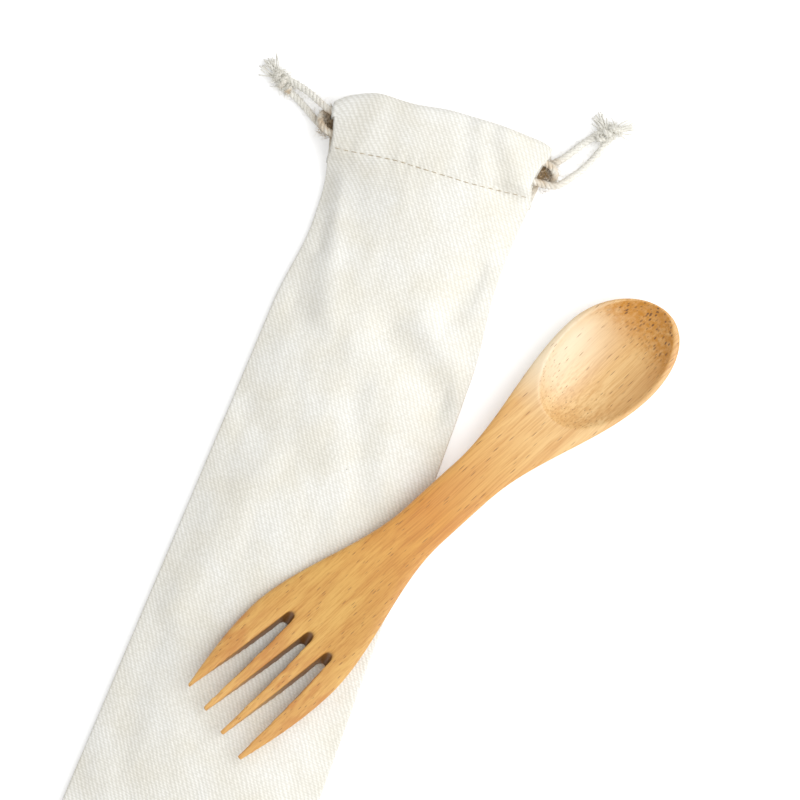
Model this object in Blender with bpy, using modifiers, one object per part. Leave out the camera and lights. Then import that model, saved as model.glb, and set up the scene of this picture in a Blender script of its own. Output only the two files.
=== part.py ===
# A travel cutlery pack: a bamboo spoon-and-fork lying across its cotton drawstring pouch.
# Metres, +Z up. The pouch lies on the table along Y with its mouth towards +Y, and the
# origin is on the table under the middle of the pouch.

import math

import bmesh
import bpy
from mathutils import Matrix, Vector

# Pouch: lengths run along the cloth, widths across the flat pouch
POUCH_LENGTH = 0.260
BOTTOM_WIDTH = 0.0790
SHOULDER_WIDTH = 0.0695
NECK_WIDTH = 0.0634
MOUTH_WIDTH = 0.0715
SHOULDER_BELOW_MOUTH = 0.080
NECK_BELOW_MOUTH = 0.048
CORNER_RADIUS = 0.006
MOUTH_LEAN = math.radians(5.0)
LEAN_EASE = 0.020
LEFT_DROOP = 0.0058
RIGHT_DROOP = 0.0012
DROOP_EASE = 0.025
LEFT_TUCK = 0.0015

# Cloth and how far it stands off the table
CLOTH = 0.0007
EDGE_LIFT = 0.00105
EDGE_REST = 0.0002
CAVITY = 0.0066
MOUTH_GAP = 0.0052
BOTTOM_CLOSE = 0.030
CROWN_POWER = 2.2
LIFT_STARTS = 0.72

# Hem with its cord channel
CASING_DEPTH = 0.020
HEM_MARGIN = 0.002
CASING_CLOSE = 0.0040
HEM_STEP = 0.008

# Drawcords
CORD_DIAMETER = 0.0026
CORD_FROM_MOUTH = 0.0063
CORD_SPACING = 0.0066
CORD_RISE = 0.0006
BEND_SET_IN = 0.0004
KNOT_LENGTH = 0.0095
KNOT_WIDTH = 0.0054
KNOT_HEIGHT = 0.0050
TAIL_LENGTH = 0.0038

# Free ends of the drawcords: places across from the casing's end, heights over the table
LEFT_END = {
    "knot": (-0.0198, 0.0068),
    "heading": 151,
    "tails": (163, 139),
    "front strand": ((-0.0054, 0.0046, 0.0060), (-0.0100, 0.0063, 0.0046), (-0.0145, 0.0074, 0.0034)),
    "back strand": ((-0.0048, -0.0012, 0.0021), (-0.0098, 0.0015, 0.0017), (-0.0146, 0.0038, 0.0017)),
}
RIGHT_END = {
    "knot": (0.0148, 0.0202),
    "heading": 58,
    "tails": (151, 35),
    "front strand": ((0.0052, -0.0022, 0.0067), (0.0086, 0.0020, 0.0047), (0.0114, 0.0064, 0.0034),
                     (0.0136, 0.0115, 0.0028)),
    "back strand": ((0.0032, 0.0060, 0.0024), (0.0062, 0.0105, 0.0019), (0.0090, 0.0150, 0.0017)),
}

# Bamboo utensil, measured from the fork's tips
UTENSIL_LENGTH = 0.200
FORK_WIDTH = 0.0384
FORK_WIDEST = 0.036
FORK_TIP_WIDTH = 0.0296
FORK_NECK = 0.095
HANDLE_WIDTH = 0.0164
HANDLE_THICKNESS = 0.0056
SPOON_NECK_FROM_END = 0.084
SPOON_WIDTH = 0.0360
SPOON_WIDEST_FROM_END = 0.025
SIDE_BOW = 0.0013
SPOON_LEAN = 0.0022

# Fork end
TINES = 4
SLOT_LENGTH = 0.0465
SLOT_WIDTH = 0.0032
SLOT_PITCH = 0.0090
TINE_TIP_WIDTH = 0.0016
TINE_TIP_THICKNESS = 0.0018
FORK_THICKNESS = 0.0036
FORK_SWEEP = 0.0012
FORK_SLANT = 0.0020
TIP_SHIFT = 0.0005

# Spoon end
BOWL_LENGTH = 0.048
BOWL_WIDTH = 0.032
BOWL_DEPTH = 0.0065
BOWL_FLOOR = 0.0023
BOWL_FROM_END = 0.0265
BOWL_FLARE = 0.0030
RIM_THICKNESS = 0.0020
HANDLE_ARCH = 0.0014

# Where the utensil lies: its middle, and its heading from the pouch's axis
UTENSIL_X = 0.0404
UTENSIL_BELOW_MOUTH = 0.1244
UTENSIL_HEADING = math.radians(26.1)

# Gap that touching pieces keep
FIT = 0.0003

# Soft folds of the front panel, measured from the mouth: from, to, half width, height
FOLDS = (
    ((-0.0290, -0.0350), (-0.0165, -0.0750), 0.0050, 0.0012),
    ((-0.0320, -0.0490), (-0.0270, -0.0650), 0.0035, -0.0008),
    ((0.0060, -0.0690), (0.0330, -0.0830), 0.0065, -0.0010),
    ((0.0040, -0.0950), (0.0200, -0.1270), 0.0050, -0.0009),
    ((-0.0340, -0.1120), (-0.0080, -0.1170), 0.0060, -0.0008),
    ((-0.0280, -0.0730), (-0.0120, -0.0820), 0.0060, -0.0007),
    ((-0.0150, -0.1300), (-0.0250, -0.1810), 0.0070, 0.0009),
    ((-0.0330, -0.1930), (-0.0280, -0.2330), 0.0080, -0.0007),
)

# Mesh density
FRONT_COLUMNS = 18
BACK_COLUMNS = 12
BODY_STEP = 0.0100
RING_POINTS = 24
CORD_STEP = 0.0052

CHANNEL = CORD_DIAMETER + 2 * FIT
CASING = CHANNEL + 2 * CLOTH
HEM = 2 * CLOTH + FIT
HEM_END = CASING_DEPTH + HEM_MARGIN
FOLD_RADIUS = CASING / 2
TOP_BODY = 2 * CLOTH + CAVITY
TOP_MOUTH = 2 * CASING + MOUTH_GAP


def ramp(value, start, end):
    """Smooth step from 0 at start to 1 at end, whichever is larger."""
    share = min(max((value - start) / (end - start), 0.0), 1.0)
    return share * share * (3 - 2 * share)


def collection(name):
    found = bpy.data.collections.new(name)
    bpy.context.scene.collection.children.link(found)
    return found


def material(name, colour, roughness):
    made = bpy.data.materials.new(name)
    made.use_nodes = True
    shader = made.node_tree.nodes["Principled BSDF"]
    shader.inputs["Base Color"].default_value = (*colour, 1.0)
    shader.inputs["Roughness"].default_value = roughness
    return made


def add_object(name, mesh, where, finish=None):
    made = bpy.data.objects.new(name, mesh)
    where.objects.link(made)
    if finish:
        mesh.materials.append(finish)
    return made


def as_cutter(thing):
    thing.hide_render = True
    thing.display_type = "WIRE"
    return thing


# Pouch outline

def half_width(s):
    """Half the pouch's width at s, the distance up from its bottom edge."""
    shoulder = POUCH_LENGTH - SHOULDER_BELOW_MOUTH
    neck = POUCH_LENGTH - NECK_BELOW_MOUTH
    width = BOTTOM_WIDTH + (SHOULDER_WIDTH - BOTTOM_WIDTH) * min(s / shoulder, 1.0)
    width += (NECK_WIDTH - SHOULDER_WIDTH) * ramp(s, shoulder, neck)
    width += (MOUTH_WIDTH - NECK_WIDTH) * ramp(s, neck, POUCH_LENGTH)
    short = max(CORNER_RADIUS - s, 0.0)
    corner = CORNER_RADIUS - math.sqrt(CORNER_RADIUS**2 - short**2)
    return width / 2 - corner


def place(u, s):
    """Plan position of the cloth at u across (-1 to 1) and s up from the bottom edge."""
    x = u * half_width(s)
    past_neck = s - (POUCH_LENGTH - NECK_BELOW_MOUTH)
    reach = math.hypot(past_neck, LEAN_EASE)
    lean = MOUTH_LEAN * (1 + past_neck / reach) / 2
    shift = MOUTH_LEAN * (past_neck + reach) / 2
    droop = LEFT_DROOP * ramp(-u, 0.2, 1.0) + RIGHT_DROOP * ramp(u, 0.4, 1.0)
    droop *= ramp(POUCH_LENGTH - s, CASING_DEPTH + DROOP_EASE, CASING_DEPTH)
    below = min(max((POUCH_LENGTH - s) / NECK_BELOW_MOUTH, 0.0), 1.0)
    x += LEFT_TUCK * ramp(-u, 0.0, 1.0) * math.sin(math.pi * below) ** 2
    return x - shift, s - POUCH_LENGTH / 2 + x * lean - droop


def layer(s):
    """Thickness of one panel: single cloth, then the stitched hem, then the cord channel."""
    below = POUCH_LENGTH - s
    hem = (HEM - CLOTH) * ramp(below, HEM_END + HEM_STEP, HEM_END)
    channel = (CASING - HEM) * ramp(below, CASING_DEPTH, CASING_DEPTH - CASING_CLOSE)
    return CLOTH + hem + channel


def edge_height(s):
    """Height of the back panel's underside along the side seams."""
    below = POUCH_LENGTH - s
    return EDGE_LIFT + (EDGE_REST - EDGE_LIFT) * ramp(below, HEM_END + HEM_STEP, CASING_DEPTH / 2)


def back_height(u, s):
    """Underside of the back panel: flat on the table, rising to its seams."""
    side = max(abs(u) - LIFT_STARTS, 0.0) / (1 - LIFT_STARTS)
    end = max(CORNER_RADIUS * 1.5 - s, 0.0) / (CORNER_RADIUS * 1.5)
    return edge_height(s) * (1 - (1 - side**2) * (1 - end**2))


def fold_height(x, y):
    """Lift of the soft folds at a place in plan, y measured from the mouth."""
    total = 0.0
    for start, end, width, height in FOLDS:
        a, b, p = Vector(start), Vector(end), Vector((x, y))
        along = (p - a).dot(b - a) / (b - a).length_squared
        near = a + (b - a) * min(max(along, 0.0), 1.0)
        total += height * math.exp(-(((p - near).length / width) ** 2))
    return total


def front_height(u, s):
    """Top of the front panel: arched between its seams, puffed a little more at the mouth."""
    below = POUCH_LENGTH - s
    crown_top = TOP_BODY + (TOP_MOUTH - TOP_BODY) * ramp(
        below, NECK_BELOW_MOUTH + CASING_DEPTH / 2, CASING_DEPTH / 2)
    edge_top = edge_height(s) + 2 * layer(s) + FIT
    close = 1 - max(1 - s / BOTTOM_CLOSE, 0.0) ** 2.5
    arch = (1 - abs(u) ** CROWN_POWER) * close
    x, y = place(u, s)
    folds = fold_height(x, y - POUCH_LENGTH / 2) * min(arch * 3, 1.0)
    folds *= ramp(below, CASING_DEPTH, HEM_END + HEM_STEP)
    return edge_top + (crown_top - edge_top) * arch + folds


# Panels

def strip_rows():
    """Stations along a panel's cloth: up the outer layer, round the fold, down the hem."""
    seam_rows = [CORNER_RADIUS * share for share in (0.0, 0.12, 0.4, 1.0, 2.0)]
    hem_start = POUCH_LENGTH - HEM_END - HEM_STEP
    count = round((hem_start - seam_rows[-1]) / BODY_STEP)
    step = (hem_start - seam_rows[-1]) / count
    body = [seam_rows[-1] + step * i for i in range(1, count + 1)]
    below = [HEM_END + HEM_STEP / 2, HEM_END, CASING_DEPTH]
    below += [CASING_DEPTH - CASING_CLOSE * share for share in (0.3, 0.7, 1.0)]
    below += [CASING_DEPTH * share for share in (0.6, 0.38, 0.22)] + [FOLD_RADIUS]
    outer = [(POUCH_LENGTH - b, 0.0) for b in below]
    bend = [(POUCH_LENGTH - FOLD_RADIUS, math.pi * share) for share in (0.25, 0.5, 0.75)]
    inner = [(s, math.pi) for s, _ in reversed(outer[1:])]
    return [(s, 0.0) for s in seam_rows + body] + outer + bend + inner


def panel_point(u, s, turn, front):
    """A point of the panel's outward face; turn is the angle round the mouth's fold."""
    x, y = place(u, s + FOLD_RADIUS * math.sin(turn) if 0 < turn < math.pi else s)
    drop = layer(s) * (1 - math.cos(turn)) / 2
    if front:
        return Vector((x, y, front_height(u, s) - drop))
    return Vector((x, y, back_height(u, s) + drop))


def build_panel(name, front, columns, where, cloth):
    rows = strip_rows()
    bm = bmesh.new()
    bmesh.ops.create_grid(bm, x_segments=columns, y_segments=len(rows) - 1, size=1.0)
    for vert in bm.verts:
        u = vert.co.x
        s, turn = rows[round((vert.co.y + 1) / 2 * (len(rows) - 1))]
        vert.co = panel_point(u, s, turn, front)
    if not front:
        bmesh.ops.reverse_faces(bm, faces=bm.faces)
    mesh = bpy.data.meshes.new(name)
    bm.to_mesh(mesh)
    bm.free()
    mesh.shade_smooth()
    made = add_object(name, mesh, where, cloth)
    wall = made.modifiers.new("cloth thickness", "SOLIDIFY")
    wall.thickness = CLOTH
    wall.offset = -1
    return made


# Drawcords

def channel_point(u, below, front):
    """Middle of the cord's channel in one panel's hem."""
    s = POUCH_LENGTH - below + CORD_RISE * ramp(-u, 0.4, 1.0)
    x, y = place(u, s)
    if front:
        return Vector((x, y, front_height(u, s) - CASING / 2))
    return Vector((x, y, back_height(u, s) + CASING / 2))


def casing_end(side):
    """Middle of the open end of both casings."""
    return (channel_point(side, CORD_FROM_MOUTH + CORD_SPACING, True)
            + channel_point(side, CORD_FROM_MOUTH, False)) / 2


def from_end(side, offset):
    """A point given across from the casing's end, with its own height over the table."""
    end = casing_end(side)
    return Vector((end.x + offset[0], end.y + offset[1], offset[2]))


def cord_route(side, knot, heading, front_strand, back_strand):
    """Route from the knot through the front channel, round the far side, and back to the knot.

    side is -1 for the cord that is tied at the left and +1 at the right. The strands are the
    points from the casing's end to the knot, in which they end side by side.
    """
    low = CORD_FROM_MOUTH + CORD_SPACING
    front_below, back_below = (CORD_FROM_MOUTH, low) if side < 0 else (low, CORD_FROM_MOUTH)
    inside = [side * share for share in (1.0, 0.9, 0.76, 0.5, 0.25, 0.0, -0.25, -0.5, -0.76, -0.9)]
    front = [channel_point(u, front_below, True) for u in inside]
    back = [channel_point(u, back_below, False) for u in inside]
    start = channel_point(-side, front_below, True)
    finish = channel_point(-side, back_below, False)
    middle = (start + finish) / 2 + Vector((side * BEND_SET_IN, 0, 0))
    arm = (start - finish) / 2
    out = Vector((-side * arm.length, 0, 0))
    turns = [math.pi * i / 6 for i in range(7)]
    bend = [middle + arm * math.cos(t) + out * math.sin(t) for t in turns]
    beside = Vector((math.sin(heading), -math.cos(heading), 0)) * (CORD_DIAMETER + FIT) / 2
    route = [knot + beside] + [from_end(side, p) for p in reversed(front_strand)] + front + bend
    return route + list(reversed(back)) + [from_end(side, p) for p in back_strand] + [knot - beside]


def smooth_path(points, step):
    """Evenly spaced points along a smooth curve through the route's points."""
    dense = []
    ends = [points[0] * 2 - points[1]] + points + [points[-1] * 2 - points[-2]]
    for p0, p1, p2, p3 in zip(ends, ends[1:], ends[2:], ends[3:]):
        for i in range(12):
            t = i / 12
            dense.append(0.5 * (2 * p1 + (p2 - p0) * t + (2 * p0 - 5 * p1 + 4 * p2 - p3) * t * t
                                + (3 * p1 - p0 - 3 * p2 + p3) * t**3))
    dense.append(points[-1])
    total = sum((b - a).length for a, b in zip(dense, dense[1:]))
    spacing = total / round(total / step)
    path, walked = [dense[0]], 0.0
    for a, b in zip(dense, dense[1:]):
        length = (b - a).length
        while walked + length >= spacing * len(path) and length > 0:
            path.append(a.lerp(b, (spacing * len(path) - walked) / length))
        walked += length
    if (path[-1] - dense[-1]).length < spacing / 2:
        path.pop()
    return path + [dense[-1]]


def tube(name, path, where):
    """A round cord along a path, as a closed mesh."""
    curve = bpy.data.curves.new(name, "CURVE")
    curve.dimensions = "3D"
    curve.bevel_depth = CORD_DIAMETER / 2
    curve.bevel_resolution = 2
    curve.use_fill_caps = True
    spline = curve.splines.new("POLY")
    spline.points.add(len(path) - 1)
    for point, co in zip(spline.points, path):
        point.co = (*co, 1.0)
    guide = bpy.data.objects.new(name + "_curve", curve)
    where.objects.link(guide)
    bpy.context.view_layer.update()
    mesh = bpy.data.meshes.new_from_object(guide.evaluated_get(bpy.context.evaluated_depsgraph_get()))
    bpy.data.objects.remove(guide)
    bm = bmesh.new()
    bm.from_mesh(mesh)
    bmesh.ops.remove_doubles(bm, verts=bm.verts, dist=0.00001)
    bm.to_mesh(mesh)
    bm.free()
    mesh.shade_smooth()
    return mesh


def lump(name, centre, size, heading, where):
    """A rounded lump used for a knot or a frayed tail."""
    bm = bmesh.new()
    turn = Matrix.Rotation(heading, 4, "Z")
    shape = Matrix.Translation(centre) @ turn @ Matrix.Diagonal((*size, 1.0))
    bmesh.ops.create_uvsphere(bm, u_segments=12, v_segments=8, radius=0.5, matrix=shape)
    mesh = bpy.data.meshes.new(name)
    bm.to_mesh(mesh)
    bm.free()
    return as_cutter(add_object(name, mesh, where))


def join(thing, tool):
    merge = thing.modifiers.new(tool.name, "BOOLEAN")
    merge.operation = "UNION"
    merge.object = tool


def build_cord(name, side, free_end, where, cutters, cotton):
    """A drawcord with its knot and two frayed tails."""
    knot = from_end(side, (*free_end["knot"], KNOT_HEIGHT / 2))
    heading = math.radians(free_end["heading"])
    route = cord_route(side, knot, heading, free_end["front strand"], free_end["back strand"])
    made = add_object(name, tube(name, smooth_path(route, CORD_STEP), where), where, cotton)
    body = (KNOT_LENGTH, KNOT_WIDTH, KNOT_HEIGHT)
    join(made, lump(name + "_knot", knot, body, heading, cutters))
    for number, degrees in enumerate(free_end["tails"]):
        angle = math.radians(degrees)
        across = (math.cos(angle - heading) / KNOT_LENGTH, math.sin(angle - heading) / KNOT_WIDTH)
        out = 0.5 / math.hypot(*across) + TAIL_LENGTH / 4
        reach = Vector((math.cos(angle), math.sin(angle), 0)) * out
        size = (TAIL_LENGTH * 1.5, CORD_DIAMETER * 1.3, CORD_DIAMETER * 1.2)
        centre = Vector((knot.x, knot.y, size[2] / 2)) + reach
        join(made, lump(f"{name}_tail_{number}", centre, size, angle, cutters))
    return made


# Utensil, in its own frame: x from the fork's tips, y to its left, z up from the bowl's underside

RIM = BOWL_DEPTH + BOWL_FLOOR
SPOON_WIDEST = UTENSIL_LENGTH - SPOON_WIDEST_FROM_END
SPOON_NECK = UTENSIL_LENGTH - SPOON_NECK_FROM_END
BOWL_AT = UTENSIL_LENGTH - BOWL_FROM_END


def utensil_half_width(t):
    if t < FORK_WIDEST:
        spread = math.sin(math.pi / 2 * t / FORK_WIDEST)
        return (FORK_TIP_WIDTH + (FORK_WIDTH - FORK_TIP_WIDTH) * spread) / 2
    if t > SPOON_WIDEST:
        past = min((t - SPOON_WIDEST) / SPOON_WIDEST_FROM_END, 1.0)
        return SPOON_WIDTH / 2 * math.sqrt(1 - past**2)
    narrow = (FORK_WIDTH - HANDLE_WIDTH) * ramp(t, FORK_WIDEST, FORK_NECK)
    widen = (SPOON_WIDTH - HANDLE_WIDTH) * ramp(t, SPOON_NECK, SPOON_WIDEST)
    return (FORK_WIDTH - narrow + widen) / 2


def utensil_top(t):
    """Height of the upper face along the middle."""
    arch = HANDLE_ARCH * ramp(t, FORK_WIDEST, FORK_NECK) * ramp(t, SPOON_WIDEST, SPOON_NECK)
    sweep = FORK_SWEEP * max(1 - t / SLOT_LENGTH, 0.0) ** 2
    return RIM + arch + sweep


def utensil_depth(t):
    """Thickness along the middle, before the bowl is hollowed."""
    if t > BOWL_AT:
        past = min((t - BOWL_AT) / (UTENSIL_LENGTH - BOWL_AT), 1.0)
        return RIM_THICKNESS + (RIM - RIM_THICKNESS) * math.sqrt(1 - past**2)
    tines = TINE_TIP_THICKNESS + (FORK_THICKNESS - TINE_TIP_THICKNESS) * ramp(t, 0, FORK_WIDEST)
    handle = (HANDLE_THICKNESS - FORK_THICKNESS) * ramp(t, FORK_WIDEST, FORK_NECK)
    bowl = (RIM - HANDLE_THICKNESS) * ramp(t, SPOON_NECK, BOWL_AT)
    return tines + handle + bowl


def utensil_point(t, turn):
    """Section point at angle turn: nearly flat above, rounded below."""
    half, top, depth = utensil_half_width(t), utensil_top(t), utensil_depth(t)
    side = min(RIM_THICKNESS, depth) * 0.6 + (depth * 0.25 if t < SPOON_NECK else 0)
    side = min(side, depth * 0.6)
    across, up = math.cos(turn), math.sin(turn)
    flat = 0.42 if up > 0 else 0.85
    y = half * math.copysign(abs(across) ** flat, across)
    z = side * abs(up) ** flat if up > 0 else -(depth - side) * abs(up) ** 0.8
    slant = FORK_SLANT * (y / half + 1) * max(1 - t / SLOT_LENGTH, 0.0)
    bow = SIDE_BOW * math.sin(math.pi * t / UTENSIL_LENGTH) ** 2
    lean = SPOON_LEAN * max((t - SPOON_WIDEST) / SPOON_WIDEST_FROM_END, 0.0) ** 2
    return Vector((t + slant, y + bow - lean, top - side + z))


def utensil_stations():
    fork = [SLOT_LENGTH * i / 6 for i in range(7)]
    handle = [SLOT_LENGTH + (SPOON_NECK - SLOT_LENGTH) * i / 7 for i in range(1, 8)]
    bowl = [SPOON_NECK + (SPOON_WIDEST - SPOON_NECK) * i / 7 for i in range(1, 8)]
    tip = [SPOON_WIDEST + SPOON_WIDEST_FROM_END * math.sin(math.radians(a)) for a in (18, 36, 52, 66, 77, 85)]
    return fork + handle + bowl + tip


def slot_cutter(index, where):
    """One slot between two tines: round root, opening out to the pointed tips."""
    centre = (index - (TINES - 2) / 2) * SLOT_PITCH
    tip_pitch = (FORK_TIP_WIDTH - TINE_TIP_WIDTH) / (TINES - 1)
    tip_centre = (index - (TINES - 2) / 2) * tip_pitch + TIP_SHIFT
    tip_half = (tip_pitch - TINE_TIP_WIDTH) / 2
    root = SLOT_LENGTH - SLOT_WIDTH / 2
    beyond = -FORK_SLANT * 4
    lean = (tip_centre - centre) / root
    flare = (tip_half - SLOT_WIDTH / 2) / root
    outline = []
    for sign in (1, -1):
        far = tip_centre - lean * beyond + sign * (tip_half - flare * beyond)
        outline.append((beyond, far))
    arc = [(root + SLOT_WIDTH / 2 * math.cos(a), centre + SLOT_WIDTH / 2 * math.sin(a))
           for a in (math.radians(d) for d in range(-90, 91, 20))]
    points = [outline[1]] + arc + [outline[0]]
    curve = bpy.data.curves.new(f"slot_{index}", "CURVE")
    curve.dimensions = "2D"
    curve.fill_mode = "BOTH"
    curve.extrude = RIM
    spline = curve.splines.new("POLY")
    spline.points.add(len(points) - 1)
    for point, (x, y) in zip(spline.points, points):
        point.co = (x, y, 0, 1)
    spline.use_cyclic_u = True
    guide = bpy.data.objects.new(f"slot_curve_{index}", curve)
    where.objects.link(guide)
    bpy.context.view_layer.update()
    mesh = bpy.data.meshes.new_from_object(guide.evaluated_get(bpy.context.evaluated_depsgraph_get()))
    bpy.data.objects.remove(guide)
    bm = bmesh.new()
    bm.from_mesh(mesh)
    bmesh.ops.remove_doubles(bm, verts=bm.verts, dist=0.00001)
    bmesh.ops.recalc_face_normals(bm, faces=bm.faces)
    bm.to_mesh(mesh)
    bm.free()
    made = as_cutter(add_object(f"slot_{index}", mesh, where))
    made.location = (0, 0, RIM)
    return made


def bowl_cutter(where):
    """Ellipsoid whose cut through the rim's plane is the bowl's outline."""
    up = BOWL_DEPTH + BOWL_FLARE
    narrow = math.sqrt(1 - (BOWL_FLARE / up) ** 2)
    bm = bmesh.new()
    bmesh.ops.create_uvsphere(bm, u_segments=28, v_segments=18, radius=1.0)
    bmesh.ops.scale(bm, verts=bm.verts, vec=(BOWL_LENGTH / 2 / narrow, BOWL_WIDTH / 2 / narrow, up))
    mesh = bpy.data.meshes.new("bowl_hollow")
    bm.to_mesh(mesh)
    bm.free()
    made = as_cutter(add_object("bowl_hollow", mesh, where))
    made.location = (BOWL_AT, 0, RIM + BOWL_FLARE)
    return made


def utensil_frame(tilt):
    """From the utensil's own frame to the table, before its height is set."""
    turn = Matrix.Rotation(math.pi / 2 - UTENSIL_HEADING, 4, "Z")
    middle = Vector((UTENSIL_X, POUCH_LENGTH / 2 - UTENSIL_BELOW_MOUTH, 0))
    return (Matrix.Translation(middle) @ turn
            @ Matrix.Rotation(tilt, 4, "Y") @ Matrix.Translation((-UTENSIL_LENGTH / 2, 0, 0)))


def lies_clear(tilt):
    """Least height of the fork's underside over the front panel, once the bowl is on the table."""
    frame = utensil_frame(tilt)
    under = [math.radians(a) for a in range(180, 361, 15)]
    bowl = [frame @ utensil_point(BOWL_AT + d, a) for d in (-0.006, -0.003, 0, 0.003, 0.006) for a in under]
    table = min(p.z for p in bowl)
    least = 1.0
    for i in range(60):
        for a in under:
            p = frame @ utensil_point(FORK_NECK * 1.2 * i / 60, a)
            s = p.y + POUCH_LENGTH / 2
            u = p.x / half_width(s)
            if abs(u) < 1:
                least = min(least, p.z - table - front_height(u, s))
    return least


def settle():
    """Tilt at which the fork end just rests on the pouch."""
    low, high = math.radians(-6), math.radians(12)
    for _ in range(30):
        middle = (low + high) / 2
        if lies_clear(middle) < FIT:
            low = middle
        else:
            high = middle
    return high


def build_utensil(name, where, cutters, bamboo):
    stations = utensil_stations()
    bm = bmesh.new()
    bmesh.ops.create_grid(bm, x_segments=len(stations) - 1, y_segments=RING_POINTS, size=1.0)
    for vert in bm.verts:
        t = stations[round((vert.co.x + 1) / 2 * (len(stations) - 1))]
        turn = math.pi * (vert.co.y + 1)
        vert.co = utensil_point(t, turn)
    bmesh.ops.remove_doubles(bm, verts=bm.verts, dist=0.00001)
    ends = [e for e in bm.edges if e.is_boundary]
    bmesh.ops.holes_fill(bm, edges=ends, sides=0)
    bmesh.ops.recalc_face_normals(bm, faces=bm.faces)
    mesh = bpy.data.meshes.new(name)
    bm.to_mesh(mesh)
    bm.free()
    made = add_object(name, mesh, where, bamboo)
    tools = [slot_cutter(i, cutters) for i in range(TINES - 1)] + [bowl_cutter(cutters)]
    frame = utensil_frame(settle())
    lowest = min((frame @ v.co).z for v in mesh.vertices)
    frame = Matrix.Translation((0, 0, -lowest)) @ frame
    made.matrix_world = frame
    for tool in tools:
        cut = made.modifiers.new(tool.name, "BOOLEAN")
        cut.operation = "DIFFERENCE"
        cut.object = tool
        tool.matrix_world = frame @ Matrix.Translation(tool.location)
    return made


def main():
    for thing in list(bpy.data.objects):
        bpy.data.objects.remove(thing)
    parts = collection("cutlery_pack")
    cutters = collection("cutters")
    bamboo = material("bamboo", (0.78, 0.42, 0.14), 0.45)
    twill = material("cotton_twill", (0.84, 0.82, 0.74), 0.9)
    cotton = material("cotton_cord", (0.85, 0.82, 0.74), 0.9)

    build_panel("front_panel", True, FRONT_COLUMNS, parts, twill)
    build_panel("back_panel", False, BACK_COLUMNS, parts, twill)

    build_cord("left_drawcord", -1, LEFT_END, parts, cutters, cotton)
    build_cord("right_drawcord", 1, RIGHT_END, parts, cutters, cotton)
    build_utensil("spork", parts, cutters, bamboo)


main()
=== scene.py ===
# The looks of a travel cutlery pack: a bamboo spoon-and-fork lying across its cotton drawstring pouch.
# Metres, +Z up, in the CAD part's frame: the pouch lies along Y with its mouth towards +Y.

import math
import random

import bmesh
import bpy
from mathutils import Matrix, Vector, noise
from mathutils.bvhtree import BVHTree


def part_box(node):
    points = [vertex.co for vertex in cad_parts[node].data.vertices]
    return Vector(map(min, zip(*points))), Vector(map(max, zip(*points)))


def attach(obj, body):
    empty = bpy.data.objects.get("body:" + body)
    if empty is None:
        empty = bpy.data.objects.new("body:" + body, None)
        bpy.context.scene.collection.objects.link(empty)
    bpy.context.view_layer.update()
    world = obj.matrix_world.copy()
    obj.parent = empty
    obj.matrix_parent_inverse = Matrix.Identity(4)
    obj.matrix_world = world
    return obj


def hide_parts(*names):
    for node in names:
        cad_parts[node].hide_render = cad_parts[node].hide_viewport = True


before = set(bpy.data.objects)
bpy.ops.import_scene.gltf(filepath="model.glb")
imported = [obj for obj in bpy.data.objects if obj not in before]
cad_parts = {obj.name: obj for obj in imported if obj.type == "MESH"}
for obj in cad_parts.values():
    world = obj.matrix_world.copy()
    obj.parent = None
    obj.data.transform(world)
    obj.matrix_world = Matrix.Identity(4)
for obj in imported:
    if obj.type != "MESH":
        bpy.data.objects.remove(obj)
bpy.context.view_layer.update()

# Pouch, as in the CAD part
POUCH_LENGTH = 0.260
BOTTOM_WIDTH = 0.0790
SHOULDER_WIDTH = 0.0695
NECK_WIDTH = 0.0634
MOUTH_WIDTH = 0.0715
SHOULDER_BELOW_MOUTH = 0.080
NECK_BELOW_MOUTH = 0.048
CORNER_RADIUS = 0.006
MOUTH_LEAN = math.radians(5.0)
LEAN_EASE = 0.020
LEFT_DROOP = 0.0058
RIGHT_DROOP = 0.0012
DROOP_EASE = 0.025
LEFT_TUCK = 0.0015
CLOTH = 0.0007
EDGE_LIFT = 0.00105
EDGE_REST = 0.0002
CAVITY = 0.0066
MOUTH_GAP = 0.0052
BOTTOM_CLOSE = 0.030
CROWN_POWER = 2.2
LIFT_STARTS = 0.72
CASING_DEPTH = 0.020
HEM_MARGIN = 0.002
CASING_CLOSE = 0.0040
HEM_STEP = 0.008
FIT = 0.0003

# Drawcords, as in the CAD part
CORD_DIAMETER = 0.0026
CORD_FROM_MOUTH = 0.0063
CORD_SPACING = 0.0066
CORD_RISE = 0.0006
BEND_SET_IN = 0.0004
KNOT_LENGTH = 0.0095
KNOT_WIDTH = 0.0054
KNOT_HEIGHT = 0.0050
TAIL_LENGTH = 0.0038
LEFT_END = {
    "knot": (-0.0198, 0.0068),
    "heading": 151,
    "shade_and_tan": 0.0045,
    "tails": (163, 139),
    "front strand": ((-0.0054, 0.0046, 0.0060), (-0.0100, 0.0063, 0.0046), (-0.0145, 0.0074, 0.0034)),
    "back strand": ((-0.0048, -0.0012, 0.0021), (-0.0098, 0.0015, 0.0017), (-0.0146, 0.0038, 0.0017)),
}
RIGHT_END = {
    "knot": (0.0148, 0.0202),
    "heading": 58,
    "shade_and_tan": 0.0012,
    "tails": (151, 35),
    "front strand": ((0.0052, -0.0022, 0.0067), (0.0086, 0.0020, 0.0047), (0.0114, 0.0064, 0.0034),
                     (0.0136, 0.0115, 0.0028)),
    "back strand": ((0.0032, 0.0060, 0.0024), (0.0062, 0.0105, 0.0019), (0.0090, 0.0150, 0.0017)),
}

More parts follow.
